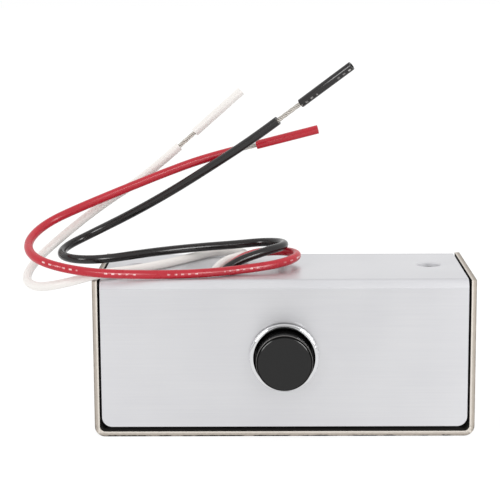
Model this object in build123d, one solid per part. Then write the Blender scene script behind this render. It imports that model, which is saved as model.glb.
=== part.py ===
from build123d import *
import math
import os

# Momentary push button in a small folded sheet-metal box, with three leads.
# Millimetres. Z is up, the button faces -Y, X runs along the box.
# The origin is the middle of the box's underside.

# Box
housing_length = 76.2
housing_depth = 31.75
housing_height = 31.75

# Base channel: the bottom and the two end walls
base_sheet = 1.0
base_bend = 1.1

# Cover: front panel, top and back
cover_sheet = 1.0
cover_bend = 0.6
side_gap = 0.5
lower_gap = 1.0
panel_corner = 2.0

# Rear end flanges of the cover, which the end screws hold
flange_width = 7.6
flange_top_relief = 2.4
flange_bottom_relief = 1.5

# Holes in the cover's top
mount_spacing = 60.3
mount_hole_diameter = 5.0
mount_setback = 1.6
wire_hole_diameter = 8.7
wire_hole_x = -12.6
wire_hole_y = -5.2
hole_edge = 0.25

# Self-tapping cover screws
screw_diameter = 2.9
screw_length = 6.0
screw_head_diameter = 5.5
screw_head_height = 1.8
screw_head_round = 0.9
screw_clearance = 0.05
screw_wall_clearance = 0.2
screw_inset = 6.0
recess_width = 0.8
recess_length = 3.0
recess_depth = 1.0

# Push button
switch_height = 16.3
travel = 2.0
cap_diameter = 11.2
cap_reach = 5.8
cap_bevel = 0.4
cap_edge_round = 0.1
cap_wall = 1.3
cap_boss_diameter = 6.0
cap_clearance = 0.25

# Bezel and threaded bushing
bezel_height = 1.2
bezel_overhang = 0.6
bezel_round = 0.45
bezel_lead_in = 0.35
barrel_wall = 0.5
barrel_length = 7.0
well_depth = 3.0
well_floor_clearance = 0.2
thread_clearance = 0.05
panel_clearance = 0.1

# Nut and lock washer behind the panel
nut_wall = 1.65
nut_height = 2.4
nut_chamfer = 0.5
washer_width = 2.1
washer_sheet = 0.6
washer_teeth = 12
tooth_depth = 1.0
tooth_gap = 1.2

# Plunger
stem_diameter = 4.4
stem_clearance = 0.05
spigot_diameter = 3.6
spigot_length = 3.2
spigot_clearance = 0.02
collar_diameter = 5.6
collar_height = 1.2
collar_clearance = 0.1
carrier_diameter = 3.6
carrier_height = 1.9
guide_diameter = 2.0
guide_height = 1.1

# Contacts and terminals
contact_sheet = 0.5
contact_gap = 0.05
contact_overlap = 1.0
pad_clearance = 0.4
disc_clearance = 0.3
disc_bore_clearance = 0.02
blade_width = 2.4
blade_clearance = 0.1
lug_length = 6.0
eye_diameter = 1.2
eye_setback = 1.3

# Return spring
spring_diameter = 4.4
spring_wire = 0.4
spring_turns = 4
spring_room = 2.15
spring_seat_diameter = 5.4
spring_seat_sheet = 0.4

# Switch body, small enough for the nut to pass over it, and its rear plate
body_wall = 0.9
body_floor = 1.2
body_bevel = 0.4
body_clearance = 0.15
plate_height = 2.0
plate_clearance = 0.1
shoulder_width = 1.4
shoulder_clearance = 0.05

# Leads
lead_diameter = 1.8
conductor_diameter = 0.95
red_bare_length = 4.3
black_bare_length = 6.0
white_bare_length = 4.3
tip_length = 13.0
solder_radius = 1.45
solder_sink = 0.2
lead_rise = 1.1

# Each route goes from the terminal, round inside the box, out of the hole in the top,
# back on itself at the right, along the top and back again at the left to its bared end.
red_route = [
    (-2.0, 9.4, 22.6),
    (-7.0, 10.8, 24.6),
    (-13.8, 11.0, 23.6),
    (-20.0, 7.4, 22.8),
    (-22.4, 1.2, 23.2),
    (-19.6, -4.2, 25.6),
    (-14.2, -5.8, 29.2),
    (-10.4, -2.8, 33.2),
    (-6.0, 4.0, 34.0),
    (-0.9, 5.2, 34.0),
    (3.5, 2.2, 34.0),
    (4.4, -3.0, 33.9),
    (1.2, -7.6, 33.5),
    (-8.4, -9.2, 32.8),
    (-18.0, -13.4, 32.7),
    (-28.0, -14.4, 32.8),
    (-37.5, -18.0, 33.8),
    (-45.5, -18.5, 35.4),
    (-50.5, -13.5, 36.6),
    (-52.0, -6.5, 38.4),
    (-49.0, -0.5, 41.0),
    (-42.6, 1.5, 43.8),
    (-32.0, 1.8, 48.1),
    (-22.0, 1.4, 52.1),
    (-15.4, 0.9, 54.4),
    (-9.6, 0.5, 55.9),
]
black_route = [
    (3.4, 10.2, 22.4),
    (-1.5, 12.6, 24.8),
    (-10.0, 12.8, 26.8),
    (-19.0, 10.4, 26.6),
    (-24.6, 3.4, 25.8),
    (-23.0, -5.6, 25.4),
    (-15.8, -8.6, 28.4),
    (-11.0, -7.2, 33.6),
    (-3.4, -4.8, 35.9),
    (0.4, -0.6, 36.2),
    (-0.2, 4.8, 36.0),
    (-4.4, 8.2, 35.5),
    (-10.0, 7.4, 35.1),
    (-18.5, 5.6, 34.8),
    (-28.0, 2.0, 34.4),
    (-36.6, -4.2, 34.1),
    (-42.4, -4.6, 34.1),
    (-46.2, -0.6, 34.3),
    (-45.8, 4.8, 35.2),
    (-40.6, 8.0, 37.4),
    (-31.5, 5.2, 42.2),
    (-22.8, 2.0, 47.4),
    (-14.6, -1.5, 52.9),
    (-6.4, -4.5, 58.5),
    (-1.1, -6.4, 62.6),
]
white_route = [
    (-7.2, 8.2, 22.4),
    (-12.4, 8.8, 25.4),
    (-17.2, 7.2, 26.0),
    (-20.6, 2.8, 26.2),
    (-19.2, -2.2, 27.8),
    (-15.2, -3.8, 30.4),
    (-12.4, -1.6, 33.6),
    (-8.6, 3.6, 34.0),
    (-9.2, 8.8, 32.9),
    (-13.2, 12.2, 32.8),
    (-18.2, 11.0, 32.7),
    (-23.0, 3.0, 32.7),
    (-29.8, -7.0, 32.7),
    (-36.6, -15.0, 33.2),
    (-43.0, -17.2, 31.7),
    (-49.2, -14.5, 30.2),
    (-52.6, -8.0, 30.6),
    (-51.6, -1.0, 33.0),
    (-46.8, 2.5, 37.2),
    (-38.4, 4.4, 43.8),
    (-28.8, 5.6, 49.8),
    (-21.6, 6.4, 56.1),
]

# Box: what follows from the sizes above
panel_front = -housing_depth / 2
wall_inner = housing_length / 2 - base_sheet
cover_length = 2 * (wall_inner - side_gap)
cover_low = base_sheet + lower_gap
flange_low = cover_low + flange_bottom_relief
flange_high = housing_height - cover_sheet - flange_top_relief
screw_y = housing_depth / 2 - flange_width / 2 - cover_sheet / 2
screw_heights = {"lower": flange_low + screw_inset, "upper": flange_high - screw_inset}

# Switch across its axis, from the button outwards
well_diameter = cap_diameter + 2 * cap_clearance
barrel_diameter = well_diameter + 2 * barrel_wall
bezel_diameter = barrel_diameter + 2 * bezel_overhang
bore_diameter = stem_diameter + 2 * stem_clearance
shoulder_diameter = bore_diameter + 2 * shoulder_width
pad_inner = collar_diameter / 2 + pad_clearance
disc_radius = pad_inner + contact_overlap
blade_inner = disc_radius + disc_clearance
blade_outer = blade_inner + contact_sheet
cavity_diameter = 2 * (math.hypot(blade_outer, blade_width / 2) + body_clearance)
body_diameter = cavity_diameter + 2 * body_wall
blade_middle = (blade_inner + blade_outer) / 2

# Switch along its axis, from the panel's front face inwards
cap_rear = well_depth - travel - well_floor_clearance
body_front = barrel_length
cavity_front = body_front + body_floor
collar_front = cavity_front + collar_clearance
carrier_front = collar_front + collar_height
disc_front = carrier_front + carrier_height
disc_rear = disc_front + contact_sheet
closed_pad_front = disc_front - contact_gap - contact_sheet
open_pad_front = disc_rear + travel + contact_gap
seat_front = open_pad_front + contact_sheet + spring_room
plate_front = seat_front + spring_seat_sheet
plate_rear = plate_front + plate_height
lug_end = plate_rear + lug_length
spring_length = seat_front - disc_rear

# The switch's own frame: its Z axis points into the box, its Y axis down
switch_frame = Plane(origin=(0, panel_front, switch_height), x_dir=(1, 0, 0), z_dir=(0, 1, 0))
lug_top = switch_height + blade_width / 2
eye_y = panel_front + lug_end - eye_setback


def rod(diameter, low, high):
    """A round bar along the switch's axis, between two depths."""
    return Pos(0, 0, low) * Cylinder(
        diameter / 2, high - low, align=(Align.CENTER, Align.CENTER, Align.MIN)
    )


def strip(x_low, x_high, height, low, high):
    """A rectangular bar beside the switch's axis, between two places across and two depths."""
    return Pos((x_low + x_high) / 2, 0, low) * Box(
        x_high - x_low, height, high - low, align=(Align.CENTER, Align.CENTER, Align.MIN)
    )


def placed(piece):
    """The piece, moved from the switch's frame to the box's."""
    return switch_frame.location * piece


def channel_section(width, height, sheet, bend):
    """Section of a sheet folded into a U that stands on its floor."""
    outer = Pos(0, height / 2) * Rectangle(width, height)
    outer = fillet(outer.vertices().group_by(Axis.Y)[0], bend + sheet)
    inner = Pos(0, height / 2 + sheet) * Rectangle(width - 2 * sheet, height)
    inner = fillet(inner.vertices().group_by(Axis.Y)[0], bend)
    return outer - inner


def top_hole(diameter, x, y):
    """A hole through the cover's top, with its upper edge broken."""
    edge = Cone(
        diameter / 2,
        diameter / 2 + hole_edge,
        hole_edge,
        align=(Align.CENTER, Align.CENTER, Align.MAX),
    )
    return Pos(x, y, housing_height) * (Cylinder(diameter / 2, 4 * cover_sheet) + edge)


def end_screw_places():
    """Where each end screw's head meets its wall, as (name, place along its own axis)."""
    for end, turn in (("right", 90), ("left", -90)):
        side = math.copysign(housing_length / 2, turn)
        for level, height in screw_heights.items():
            yield f"{end}_{level}", Pos(side, screw_y, height) * Rot(0, turn, 0)


def base_channel():
    section = channel_section(housing_length, housing_height, base_sheet, base_bend)
    channel = extrude(Plane.XZ * section, housing_depth / 2, both=True)
    for _, place in end_screw_places():
        hole = Cylinder(screw_diameter / 2 + screw_wall_clearance, 4 * base_sheet)
        channel -= place * hole
    return channel


def rear_flange():
    """The right-hand flange: an L section, bent forward along the end wall."""
    corner = (Align.MAX, Align.MAX)
    root = wall_inner - cover_length / 2 + 2 * (cover_sheet + cover_bend)
    outer = Rectangle(root, flange_width, align=corner)
    outer = fillet(outer.vertices().sort_by(lambda v: v.X + v.Y)[-1], cover_bend + cover_sheet)
    inner = Rectangle(root, flange_width, align=corner)
    inner = fillet(inner.vertices().sort_by(lambda v: v.X + v.Y)[-1], cover_bend)
    section = outer - Pos(-cover_sheet, -cover_sheet) * inner
    flange = extrude(section, flange_high - flange_low)
    return Pos(wall_inner, housing_depth / 2, flange_low) * flange


def cover():
    height = housing_height - cover_low
    section = channel_section(housing_depth, height, cover_sheet, cover_bend)
    section = Pos(0, housing_height) * Rot(0, 0, 180) * section
    shell = extrude(Plane.YZ * section, cover_length / 2, both=True)
    low_corners = shell.edges().filter_by(Axis.Y).group_by(Axis.Z)[0]
    shell = fillet(low_corners, panel_corner)
    flange = rear_flange()
    shell = shell + flange + mirror(flange, Plane.YZ)
    for _, place in end_screw_places():
        shell -= place * Cylinder(screw_diameter / 2 + screw_clearance, 4 * screw_length)
    shell -= placed(rod(barrel_diameter + 2 * panel_clearance, -cover_sheet, 2 * cover_sheet))
    for side in (-1, 1):
        shell -= top_hole(mount_hole_diameter, side * mount_spacing / 2, mount_setback)
    return shell - top_hole(wire_hole_diameter, wire_hole_x, wire_hole_y)


def cover_screw():
    """A pan-head screw whose head stands on Z = 0, with a cross recess."""
    head = Cylinder(
        screw_head_diameter / 2, screw_head_height, align=(Align.CENTER, Align.CENTER, Align.MIN)
    )
    head = fillet(head.edges().group_by(Axis.Z)[-1], screw_head_round)
    for turn in (0, 90):
        slot = Box(
            recess_length, recess_width, recess_depth, align=(Align.CENTER, Align.CENTER, Align.MAX)
        )
        head -= Pos(0, 0, screw_head_height) * Rot(0, 0, turn) * slot
    shank = Cylinder(
        screw_diameter / 2, screw_length, align=(Align.CENTER, Align.CENTER, Align.MAX)
    )
    shank = chamfer(shank.edges().group_by(Axis.Z)[0], screw_diameter / 4)
    return head + shank


def bezel_bushing():
    """The bezel, the well that the cap sinks into, the barrel and its rear spigot, in one."""
    bezel = rod(bezel_diameter, -bezel_height, 0)
    bezel = fillet(bezel.edges().group_by(Axis.Z)[0], bezel_round)
    bushing = bezel + rod(barrel_diameter, 0, body_front)
    bushing += rod(shoulder_diameter, body_front, cavity_front)
    bushing -= rod(well_diameter, -bezel_height, well_depth)
    bushing -= rod(bore_diameter, well_depth, cavity_front)
    lead_in = Cone(
        well_diameter / 2 + bezel_lead_in,
        well_diameter / 2,
        bezel_lead_in,
        align=(Align.CENTER, Align.CENTER, Align.MIN),
    )
    return placed(bushing - Pos(0, 0, -bezel_height) * lead_in)


def lock_washer():
    """A thin washer with teeth round its hole."""
    washer = rod(barrel_diameter + 2 * washer_width, cover_sheet, cover_sheet + washer_sheet)
    bore_radius = barrel_diameter / 2 + thread_clearance
    washer -= rod(2 * bore_radius, cover_sheet, cover_sheet + washer_sheet)
    gap = Box(2 * tooth_depth, tooth_gap, 4 * (cover_sheet + washer_sheet))
    for place in PolarLocations(bore_radius, washer_teeth):
        washer -= place * gap
    return placed(washer)


def hex_nut():
    low = cover_sheet + washer_sheet
    flats = barrel_diameter / 2 + nut_wall
    nut = extrude(RegularPolygon(flats, 6, major_radius=False), nut_height)
    corners = Cone(
        flats + nut_height + nut_chamfer,
        flats + nut_chamfer,
        nut_height,
        align=(Align.CENTER, Align.CENTER, Align.MIN),
    )
    nut = Pos(0, 0, low) * (nut & corners)
    return placed(nut - rod(barrel_diameter + 2 * thread_clearance, low, low + nut_height))


def button_cap():
    """A hollow cap with a bevelled front edge and a socket for the plunger."""
    cap = rod(cap_diameter, -cap_reach, cap_rear)
    cap = chamfer(cap.edges().group_by(Axis.Z)[0], cap_bevel)
    front_edges = cap.edges().filter_by(GeomType.CIRCLE).sort_by(Axis.Z)[:2]
    cap = fillet(front_edges, cap_edge_round)
    hollow = rod(cap_diameter - 2 * cap_wall, 2 * cap_wall - cap_reach, cap_rear)
    cap -= hollow - rod(cap_boss_diameter, 2 * cap_wall - cap_reach, cap_rear)
    cap -= rod(spigot_diameter + 2 * spigot_clearance, cap_rear - spigot_length, cap_rear)
    return placed(cap)


def plunger():
    """Spigot for the cap, guided stem, stop collar, contact carrier and spring guide."""
    turned = rod(spigot_diameter, cap_rear - spigot_length + spigot_clearance, cap_rear)
    turned += rod(stem_diameter, cap_rear, collar_front)
    turned += rod(collar_diameter, collar_front, carrier_front)
    turned += rod(carrier_diameter, carrier_front, disc_front)
    turned += rod(guide_diameter, disc_front, disc_rear + guide_height)
    return placed(turned)


def contact_disc():
    disc = rod(2 * disc_radius, disc_front, disc_rear)
    return placed(disc - rod(guide_diameter + 2 * disc_bore_clearance, disc_front, disc_rear))


def return_spring():
    """A coil of round wire between the contact disc and the common terminal's seat."""
    height = spring_length - spring_wire
    coil_radius = (spring_diameter - spring_wire) / 2
    line = Helix(height / spring_turns, height, coil_radius)
    section = Plane(origin=line @ 0, z_dir=line % 0) * Circle(spring_wire / 2)
    coil = sweep(section, path=line, is_frenet=True)
    return placed(Pos(0, 0, disc_rear + spring_wire / 2) * coil)


def switch_body():
    """A round moulded cup, open at the rear, on the bushing's shoulder."""
    cup = rod(body_diameter, body_front, plate_rear)
    cup = chamfer(cup.edges().group_by(Axis.Z)[-1], body_bevel)
    cup -= rod(cavity_diameter, cavity_front, plate_rear)
    return placed(cup - rod(shoulder_diameter + 2 * shoulder_clearance, body_front, cavity_front))


def terminal_base():
    """The plate that closes the body, with a middle slot and two side notches."""
    plate = rod(cavity_diameter - 2 * plate_clearance, plate_front, plate_rear)
    slot_height = blade_width + 2 * blade_clearance
    slot_reach = contact_sheet / 2 + blade_clearance
    notch_reach = blade_inner - blade_clearance
    plate -= strip(-slot_reach, slot_reach, slot_height, plate_front, plate_rear)
    notch = strip(notch_reach, cavity_diameter, slot_height, plate_front, plate_rear)
    return placed(plate - notch - mirror(notch, Plane.YZ))


def with_eye(blade, x):
    """The blade with the hole near its end that the wire goes through."""
    eye = Pos(x, 0, lug_end - eye_setback) * Rot(0, 90, 0) * Cylinder(eye_diameter / 2, 4)
    return blade - eye


def terminal_common():
    """The middle blade and the round seat that the spring stands on."""
    half = contact_sheet / 2
    blade = strip(-half, half, blade_width, plate_front, lug_end)
    return placed(with_eye(blade, 0) + rod(spring_seat_diameter, seat_front, plate_front))


def side_terminal(pad_front, side):
    """A blade along the body's wall, bent inwards to a pad over the contact disc."""
    blade = strip(blade_inner, blade_outer, blade_width, pad_front, lug_end)
    blade = with_eye(blade, blade_middle)
    blade += strip(pad_inner, blade_outer, blade_width, pad_front, pad_front + contact_sheet)
    return placed(blade if side > 0 else mirror(blade, Plane.YZ))


def arc_radii(points):
    """For each inner point, the largest arc that its two straight runs leave room for."""
    radii = []
    for before, here, after in zip(points, points[1:], points[2:]):
        inward = Vector(here) - Vector(before)
        outward = Vector(after) - Vector(here)
        half_turn = math.radians(inward.get_angle(outward)) / 2
        radii.append(0.45 * min(inward.length, outward.length) / math.tan(half_turn))
    return radii


def lead_solids(colour, route, bare_length, terminal_x, terminal):
    """The insulated wire, its bared stretch, the slug on its tip and its solder joint."""
    points = [(terminal_x, eye_y, lug_top + lead_rise), *route]
    radii = arc_radii(points)
    path = FilletPolyline(*points, radius=radii)
    start, first = Vector(points[0]), (Vector(points[1]) - Vector(points[0])).normalized()
    wire = sweep(Plane(origin=start, z_dir=first) * Circle(lead_diameter / 2), path=path)
    section = math.pi * lead_diameter**2 / 4
    print(colour, "lead", round(path.length, 1), "mm, volume over section times length")
    print(round(wire.volume / (section * path.length), 4), "radii", [round(r, 1) for r in radii])

    end = Vector(points[-1])
    last = (end - Vector(points[-2])).normalized()
    bare = extrude(Plane(origin=end, z_dir=last) * Circle(conductor_diameter / 2), bare_length)
    tip_start = Plane(origin=end + last * bare_length, z_dir=last)
    tip = extrude(tip_start * Circle(lead_diameter / 2), tip_length)

    solder = Pos(terminal_x, eye_y, lug_top + solder_sink) * Sphere(solder_radius)
    solder = split(solder, Plane(origin=start, z_dir=first), keep=Keep.BOTTOM)
    return {
        f"{colour}_lead": wire,
        f"{colour}_bare_wire": bare,
        f"{colour}_tip_sleeve": tip,
        f"solder_joint_{colour}": solder - terminal,
    }


pieces = {
    "base_channel": base_channel(),
    "cover": cover(),
    "bezel_bushing": bezel_bushing(),
    "lock_washer": lock_washer(),
    "hex_nut": hex_nut(),
    "button_cap": button_cap(),
    "plunger": plunger(),
    "contact_disc": contact_disc(),
    "return_spring": return_spring(),
    "switch_body": switch_body(),
    "terminal_base": terminal_base(),
    "terminal_common": terminal_common(),
    "terminal_normally_closed": side_terminal(closed_pad_front, 1),
    "terminal_normally_open": side_terminal(open_pad_front, -1),
}
for name, place in end_screw_places():
    pieces[f"cover_screw_{name}"] = place * cover_screw()
terminal = pieces["terminal_common"]
pieces |= lead_solids("red", red_route, red_bare_length, 0, terminal)
terminal = pieces["terminal_normally_closed"]
pieces |= lead_solids("black", black_route, black_bare_length, blade_middle, terminal)
terminal = pieces["terminal_normally_open"]
pieces |= lead_solids("white", white_route, white_bare_length, -blade_middle, terminal)

os.makedirs("parts", exist_ok=True)
for name, piece in pieces.items():
    export_step(piece, f"parts/{name}.step")
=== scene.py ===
# %% [markdown]
# A momentary push button in a folded steel box, with three leads coming out of its top.
# The solid model is loaded first and stays fixed. Everything made here goes round it, in
# the same frame and in metres: the origin is the middle of the underside, Z is up and the
# button faces -Y.

# %% Load the solid model
import bpy
import math
from mathutils import Matrix, Vector


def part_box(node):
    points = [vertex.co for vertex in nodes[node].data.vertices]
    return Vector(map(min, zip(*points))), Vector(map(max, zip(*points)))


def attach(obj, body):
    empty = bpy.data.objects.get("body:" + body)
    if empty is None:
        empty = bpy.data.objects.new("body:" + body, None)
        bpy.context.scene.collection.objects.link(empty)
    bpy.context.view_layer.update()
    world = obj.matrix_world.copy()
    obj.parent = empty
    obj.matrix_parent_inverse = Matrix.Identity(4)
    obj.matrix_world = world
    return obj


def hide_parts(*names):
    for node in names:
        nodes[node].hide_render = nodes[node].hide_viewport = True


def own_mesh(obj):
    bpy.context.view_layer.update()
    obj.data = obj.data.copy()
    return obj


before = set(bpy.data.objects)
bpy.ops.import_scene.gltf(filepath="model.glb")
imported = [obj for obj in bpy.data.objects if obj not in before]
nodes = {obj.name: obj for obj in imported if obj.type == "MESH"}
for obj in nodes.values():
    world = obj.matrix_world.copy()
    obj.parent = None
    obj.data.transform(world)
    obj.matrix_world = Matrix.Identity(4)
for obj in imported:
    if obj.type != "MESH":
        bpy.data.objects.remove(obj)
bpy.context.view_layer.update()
MM = 0.001


# %% [markdown]
# The photograph was taken from a little above the box, with a long lens, nearly square on.
# A camera can be placed by eye, but then every size in the picture is a little off. Here its
# place and angles were found by matching the box's corners, so they are set as they came
# out, in radians. A positive pitch looks down, a positive yaw looks right, and a positive
# roll turns the camera clockwise.

# %% Camera
EYE = Vector((-2.52, -338.67, 94.53)) * MM
PITCH, YAW, ROLL = 0.17342, -0.01295, 0.00596
FOCAL_LENGTH, SENSOR_WIDTH = 119.74, 36
level_ahead = Vector((math.sin(YAW), math.cos(YAW), 0))
forward = level_ahead * math.cos(PITCH) - Vector((0, 0, math.sin(PITCH)))
right = Vector((math.cos(YAW), -math.sin(YAW), 0))
up = right.cross(forward)
image_right = right * math.cos(ROLL) - up * math.sin(ROLL)
image_up = right * math.sin(ROLL) + up * math.cos(ROLL)

lens = bpy.data.cameras.new("photo_camera")
lens.sensor_width = SENSOR_WIDTH
lens.lens = FOCAL_LENGTH
lens.clip_start = 10 * MM
camera = bpy.data.objects.new("photo_camera", lens)
bpy.context.scene.collection.objects.link(camera)
turn = Matrix((image_right, image_up, -forward)).transposed().to_4x4()
camera.matrix_world = Matrix.Translation(EYE) @ turn
bpy.context.scene.camera = camera
print("lens", FOCAL_LENGTH, "mm, eye", [round(v, 4) for v in EYE])

# %% [markdown]
# The leads are thin hook-up wire: soft copper strands in coloured insulation, stiff enough
# to keep the loops they were bent into. Each one follows its solid: from its terminal, round
# inside the box, out of the hole in the top, back on itself at the right, along the top, and
# back again at the left to its bared end. A chain of cylinders would show its corners. A
# NURBS curve with a round bevel is a tube with none, because it passes near its points and
# not through them. The points carry the wire's radius and the bevel is one, so the curve's
# box is the wire's box too.

# %% Routes of the three leads, in millimetres
LEAD_DIAMETER = 1.8 * MM
LEAD_LENGTH = {"red": 188 * MM, "black": 190 * MM, "white": 154 * MM}
LEAD_ROUTE = {
    "red": [
        (0.0, 7.83, 18.6), (-2.0, 9.4, 22.6), (-7.0, 10.8, 24.6), (-13.8, 11.0, 23.6),
        (-20.0, 7.4, 22.8), (-22.4, 1.2, 23.2), (-19.6, -4.2, 25.6), (-14.2, -5.8, 29.2),
        (-10.4, -2.8, 33.2), (-6.0, 4.0, 34.0), (-0.9, 5.2, 34.1), (2.2, 2.8, 34.2),
        (3.1, -2.0, 34.2), (-0.4, -7.0, 33.6), (-8.4, -9.2, 32.8), (-18.0, -13.4, 32.7),
        (-28.0, -14.4, 32.8), (-37.5, -18.0, 33.8), (-45.5, -18.5, 35.4), (-50.5, -13.5, 36.6),
        (-52.0, -6.5, 38.4), (-49.0, -0.5, 41.0), (-42.6, 1.5, 43.8), (-32.0, 1.8, 48.1),
        (-22.0, 1.4, 52.1), (-15.4, 0.9, 54.4), (-9.6, 0.5, 55.9),
    ],
    "black": [
        (4.7, 7.83, 18.6), (3.4, 10.2, 22.4), (-1.5, 12.6, 24.8), (-10.0, 12.8, 26.8),
        (-19.0, 10.4, 26.6), (-24.6, 3.4, 25.8), (-23.0, -5.6, 25.4), (-15.8, -8.6, 28.4),
        (-11.0, -7.2, 33.6), (-3.4, -4.8, 35.9), (0.4, -0.6, 36.2), (-0.2, 4.8, 36.0),
        (-4.4, 8.2, 35.5), (-10.0, 7.4, 35.1), (-18.5, 5.6, 34.8), (-28.0, 2.0, 34.4),
        (-36.6, -4.2, 34.1), (-42.4, -4.6, 34.1), (-46.2, -0.6, 34.3), (-45.8, 4.8, 35.2),
        (-40.6, 8.0, 37.4), (-31.5, 5.2, 42.2), (-22.8, 2.0, 47.4), (-14.6, -1.5, 52.9),
        (-6.4, -4.5, 58.5), (-1.1, -6.4, 62.6),
    ],
    "white": [
        (-4.7, 7.83, 18.6), (-7.2, 8.2, 22.4), (-12.4, 8.8, 25.4), (-17.2, 7.2, 26.0),
        (-20.6, 2.8, 26.2), (-19.2, -2.2, 27.8), (-15.2, -3.8, 30.4), (-12.4, -1.4, 33.2),
        (-9.4, 2.0, 33.4), (-7.9, 6.2, 33.2), (-8.6, 10.2, 32.9), (-12.0, 12.4, 32.8),
        (-15.8, 11.0, 32.7), (-18.6, 6.6, 32.7), (-23.0, 0.2, 32.7), (-29.9, -8.0, 32.7),
        (-36.6, -15.0, 33.2), (-43.0, -17.2, 31.7), (-49.2, -14.5, 30.2), (-52.6, -8.0, 30.6),
        (-51.6, -1.0, 33.0), (-46.8, 2.5, 37.2), (-38.4, 4.4, 43.8), (-28.8, 5.6, 49.8),
        (-21.6, 6.4, 56.1),
    ],
}
print("points on each route:", {colour: len(route) for colour, route in LEAD_ROUTE.items()})

# %% Draw the leads
leads = {}
for colour, route in LEAD_ROUTE.items():
    line = bpy.data.curves.new(f"{colour}_wire", "CURVE")
    line.dimensions = "3D"
    spline = line.splines.new("NURBS")
    spline.points.add(len(route) - 1)
    for point, place in zip(spline.points, route):
        point.co = (*(Vector(place) * MM), 1)
        point.radius = LEAD_DIAMETER / 2
    spline.order_u = 3
    spline.use_endpoint_u = True
    spline.resolution_u = 10
    line.bevel_depth = 1.0
    line.bevel_resolution = 6
    line.use_fill_caps = True
    leads[colour] = bpy.data.objects.new(f"{colour}_wire", line)
    bpy.context.scene.collection.objects.link(leads[colour])
    print(colour, "lead:", round(spline.calc_length() / MM, 1), "mm")

# %% [markdown]
# Each lead ends as the maker delivers it: the insulation is cut a little way from the end
# and pulled along, which bares a few millimetres of conductor and leaves a slug of
# insulation on the tip to keep the strands together. These pieces could be modelled where
# they lie, on the slant. Here they are modelled up the Z axis from the origin, where sizes
# are easy to give, and then set down at the end of the lead.

# %% Helpers that put a finished piece at the end of a lead
BARE_LENGTH = {"red": 4.3 * MM, "black": 6.0 * MM, "white": 4.3 * MM}


def lead_end(colour):
    """Where a lead's insulation ends, and which way it points there."""
    before, end = (Vector(p) * MM for p in LEAD_ROUTE[colour][-2:])
    return end, (end - before).normalized()


def set_down(piece, start, along):
    """Move a piece modelled up the Z axis to its place, and keep that place in its mesh."""
    turn = along.to_track_quat("Z", "Y").to_matrix().to_4x4()
    piece.matrix_world = Matrix.Translation(start) @ turn
    bpy.ops.object.select_all(action="DESELECT")
    piece.select_set(True)
    bpy.context.view_layer.objects.active = piece
    bpy.ops.object.transform_apply(location=True, rotation=True, scale=True)


for colour in LEAD_ROUTE:
    print(colour, "insulation ends at", [round(v, 4) for v in lead_end(colour)[0]])

# %% [markdown]
# The bared conductor is seven tinned strands with a slow twist. Seven curves could be drawn,
# each with its own helix worked out. It is shorter to add one ring per strand and to let a
# Screw modifier draw all seven along the wire while it turns them.

# %% Bared strands
STRAND, STRAND_CORNERS = 0.31 * MM, 12
TWIST_LENGTH, TWIST_STEPS = 9 * MM, 24
# How far the strands reach into the insulation at each end
SUNK = 0.4 * MM


def twisted_strands(name, length):
    """Seven strands, one in the middle and six round it, from Z = 0 to the length."""
    rings = []
    for number in range(7):
        reach = STRAND if number else 0
        angle = math.radians(60 * number)
        bpy.ops.object.select_all(action="DESELECT")
        bpy.ops.mesh.primitive_circle_add(
            vertices=STRAND_CORNERS, radius=STRAND / 2,
            location=(reach * math.cos(angle), reach * math.sin(angle), 0),
        )
        rings.append(bpy.context.object)
    for ring in rings:
        ring.select_set(True)
    bpy.context.view_layer.objects.active = rings[0]
    bpy.ops.object.join()
    bundle = bpy.context.object
    bundle.name = name
    twist = bundle.modifiers.new("twist", "SCREW")
    twist.angle = math.radians(360) * length / TWIST_LENGTH
    twist.screw_offset = length
    twist.steps = twist.render_steps = TWIST_STEPS
    twist.use_merge_vertices = False
    bpy.ops.object.modifier_apply(modifier="twist")
    bpy.ops.object.mode_set(mode="EDIT")
    bpy.ops.mesh.select_all(action="SELECT")
    bpy.ops.mesh.fill_holes(sides=STRAND_CORNERS)
    bpy.ops.mesh.normals_make_consistent(inside=False)
    bpy.ops.object.mode_set(mode="OBJECT")
    bpy.ops.object.shade_smooth_by_angle(angle=math.radians(40))
    return bundle


strands = {}
for colour in LEAD_ROUTE:
    end, along = lead_end(colour)
    length = BARE_LENGTH[colour] + 2 * SUNK
    strands[colour] = twisted_strands(f"{colour}_strands", length)
    set_down(strands[colour], end - along * SUNK, along)
    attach(strands[colour], "housing")
    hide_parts(f"{colour}_bare_wire")
    print(colour, "strands:", len(strands[colour].data.polygons), "faces,", round(length / MM, 1), "mm")


# %% [markdown]
# The slug on the tip is a short tube. A curve with caps would end flat, so a cylinder is
# added at its size, each end is inset to the size of the conductor and pushed in, and the
# rims are bevelled a little, because soft insulation never cuts to a razor edge.

# %% Slugs of insulation on the tips
TIP_LENGTH, TIP_CORNERS = 13.0 * MM, 40
TIP_EDGE, TIP_WALL, TIP_HOLLOW = 0.05 * MM, 0.37 * MM, 0.3 * MM


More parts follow.
